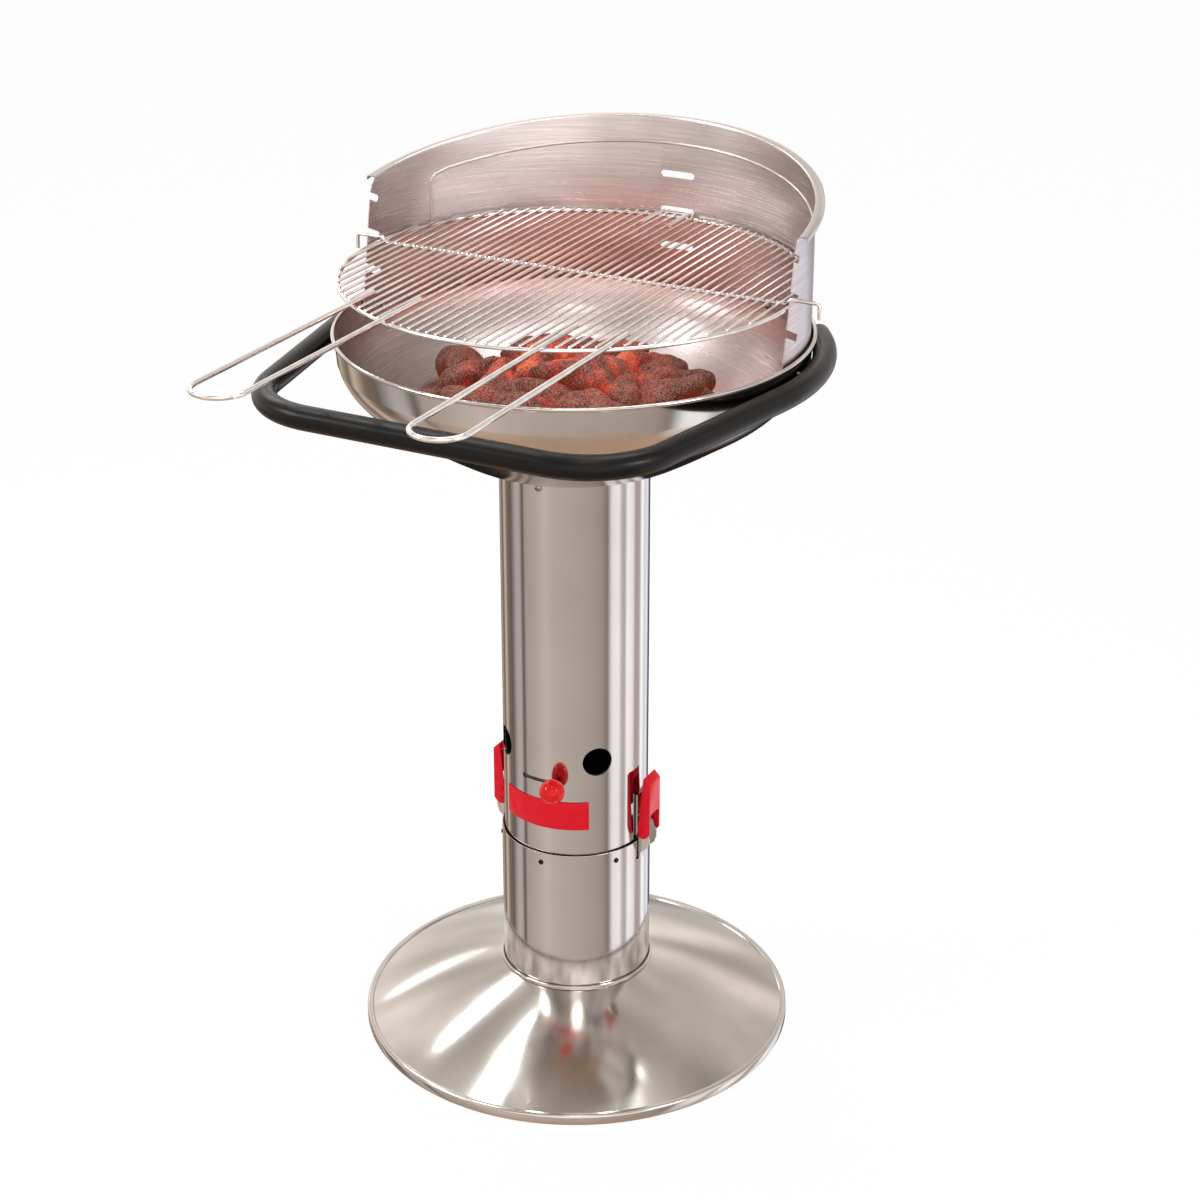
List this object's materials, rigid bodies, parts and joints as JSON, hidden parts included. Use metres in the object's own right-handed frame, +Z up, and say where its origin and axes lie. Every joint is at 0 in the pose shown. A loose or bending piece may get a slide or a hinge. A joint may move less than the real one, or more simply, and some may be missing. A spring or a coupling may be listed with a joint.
{
  "type": "charcoal barbecue",
  "caption": "Round charcoal barbecue on a column and wide foot, with a wire cooking grid, a windshield, a rail round the bowl and a latched ash container.",
  "frame": {"origin": "the middle of the foot, on the floor", "axes": "+Z up along the column; -Y is the front, where the grid handles point; the latches are on the X axis"},
  "size_m": [0.5414, 0.7431, 0.985],
  "materials": {
    "polished_steel": "polished, mirror-like",
    "brushed_steel": "brushed",
    "fastener_steel": "plain",
    "chromed_wire": "bright",
    "blackened_steel": "dull, heat-blackened",
    "black_paint": "satin",
    "red_paint": "gloss",
    "red_plate": "semi-gloss",
    "red_plastic": "high gloss",
    "charcoal": "burnt, glowing"
  },
  "bodies": {
    "stand": {"foot_plate": "polished_steel", "foot_collar": "polished_steel", "foot_screw_1": "fastener_steel", "foot_screw_2": "fastener_steel", "foot_screw_3": "fastener_steel", "ash_container": "polished_steel", "column_ledge": "polished_steel", "ledge_rivet_1": "fastener_steel", "ledge_rivet_2": "fastener_steel", "ledge_rivet_3": "fastener_steel", "ledge_rivet_4": "fastener_steel", "ledge_rivet_5": "fastener_steel", "ledge_rivet_6": "fastener_steel", "column_tube": "polished_steel", "column_screw_1": "fastener_steel", "column_screw_2": "fastener_steel", "column_screw_3": "fastener_steel", "front_plate": "red_plate", "latch_plate_right": "polished_steel", "latch_rivet_right_1": "fastener_steel", "latch_rivet_right_2": "fastener_steel", "latch_pivot_right_1": "fastener_steel", "latch_pivot_right_2": "fastener_steel", "latch_plate_left": "polished_steel", "latch_rivet_left_1": "fastener_steel", "latch_rivet_left_2": "fastener_steel", "latch_pivot_left_1": "fastener_steel", "latch_pivot_left_2": "fastener_steel", "bowl": "brushed_steel", "fire_grate": "blackened_steel", "charcoal": "charcoal", "windshield": "brushed_steel", "windshield_screw_1": "fastener_steel", "windshield_screw_2": "fastener_steel", "rail": "black_paint", "rail_bolt_1": "fastener_steel", "rail_bolt_2": "fastener_steel", "rail_bolt_3": "fastener_steel", "rail_bolt_4": "fastener_steel"},
    "vent": {"vent_ring": "brushed_steel", "vent_rod": "fastener_steel", "vent_knob": "red_plastic"},
    "lever_right": {"latch_lever_right": "red_paint", "latch_claw_pin_right": "fastener_steel"},
    "claw_right": {"latch_claw_right": "chromed_wire"},
    "lever_left": {"latch_lever_left": "red_paint", "latch_claw_pin_left": "fastener_steel"},
    "claw_left": {"latch_claw_left": "chromed_wire"},
    "grid": {"cooking_grid": "chromed_wire", "grid_support_wire": "chromed_wire", "grid_rear_tab": "chromed_wire", "grid_handle_left": "chromed_wire", "grid_handle_right": "chromed_wire"}
  },
  "joints": [
    {"name": "vent_turn", "type": "hinge", "parent": "stand", "child": "vent", "pos_m": [0, 0, 0.329], "axis": [0, 0, -1], "range_deg": [0, 26]},
    {"name": "lever_right_swing", "type": "hinge", "parent": "stand", "child": "lever_right", "pos_m": [0.0895, 0, 0.252], "axis": [0, 1, 0], "range_deg": [0, 100]},
    {"name": "claw_right_swing", "type": "hinge", "parent": "lever_right", "child": "claw_right", "pos_m": [0.0878, 0, 0.265], "axis": [0, 1, 0], "range_deg": [-100, 0]},
    {"name": "lever_left_swing", "type": "hinge", "parent": "stand", "child": "lever_left", "pos_m": [-0.0895, 0, 0.252], "axis": [0, -1, 0], "range_deg": [0, 100]},
    {"name": "claw_left_swing", "type": "hinge", "parent": "lever_left", "child": "claw_left", "pos_m": [-0.0878, 0, 0.265], "axis": [0, -1, 0], "range_deg": [-100, 0]},
    {"name": "grid_lift", "type": "slide", "parent": "stand", "child": "grid", "axis": [0, -0.9063, 0.4226], "range_m": [0, 0.026]}
  ],
  "couplings": [
    {"joint": "claw_right_swing", "follows": "lever_right_swing", "ratio": -1},
    {"joint": "claw_left_swing", "follows": "lever_left_swing", "ratio": -1}
  ]
}
